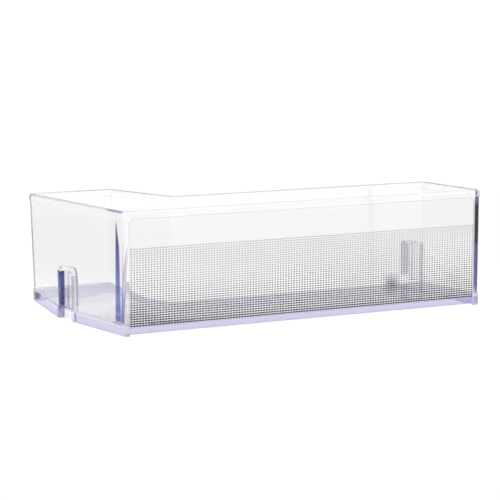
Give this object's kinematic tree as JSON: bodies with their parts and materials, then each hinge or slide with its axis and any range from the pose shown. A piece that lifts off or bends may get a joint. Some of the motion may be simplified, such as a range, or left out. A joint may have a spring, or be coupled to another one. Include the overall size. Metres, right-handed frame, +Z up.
{
  "type": "refrigerator door bin",
  "caption": "Clear L-shaped refrigerator door bin with a skirted base, lug channels and a dot-printed front.",
  "frame": {"origin": "middle of the bounding box, on the surface that the side skirts rest on", "axes": "+X to the right along the front, +Y from the front to the back, +Z up"},
  "size_m": [0.426, 0.208, 0.122],
  "materials": {
    "tray": "clear moulded plastic with a faint violet tint, polished",
    "film": "clear plastic, polished",
    "print": "dark grey printed dots on clear film, smaller towards the top"
  },
  "bodies": {
    "root": {"tray_body": "tray", "front_film": "film", "dot_print": "print"}
  },
  "joints": []
}
